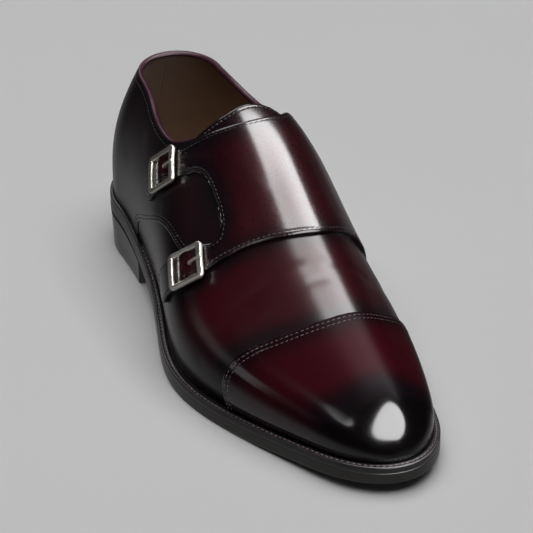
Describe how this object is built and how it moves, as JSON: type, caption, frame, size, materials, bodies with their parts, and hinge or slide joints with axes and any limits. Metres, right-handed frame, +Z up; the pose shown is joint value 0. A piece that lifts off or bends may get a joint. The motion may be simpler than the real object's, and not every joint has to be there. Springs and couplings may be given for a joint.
{
  "type": "monk strap shoe",
  "caption": "Right-foot double monk strap dress shoe with toe cap, welted leather sole, stacked heel and buckled straps on the outer side.",
  "frame": {"origin": "middle of the shoe's outline on the floor", "axes": "+Z up, toe towards -Y, inner side of the foot towards +X"},
  "size_m": [0.1076, 0.3036, 0.111],
  "materials": {
    "upper": "burnished deep burgundy calf, polished, darker towards seams and heel",
    "toe_cap": "mirror-polished burgundy calf, near black at the tip",
    "insole": "tan lining leather, satin",
    "outsole": "leather sole with a waxed dark edge",
    "heel": "stacked leather with a waxed black edge",
    "welt": "waxed dark leather strip with stitching",
    "buckle": "warm polished nickel"
  },
  "bodies": {
    "root": {"outsole": "outsole", "heel": "heel", "welt": "welt", "heel_rand": "welt", "insole": "insole", "upper": "upper", "tongue": "upper", "toe_cap": "toe_cap", "strap_flap": "upper", "buckle_tab_upper": "upper", "buckle_upper": "buckle", "prong_upper": "buckle", "buckle_tab_lower": "upper", "buckle_lower": "buckle", "prong_lower": "buckle"}
  },
  "joints": []
}
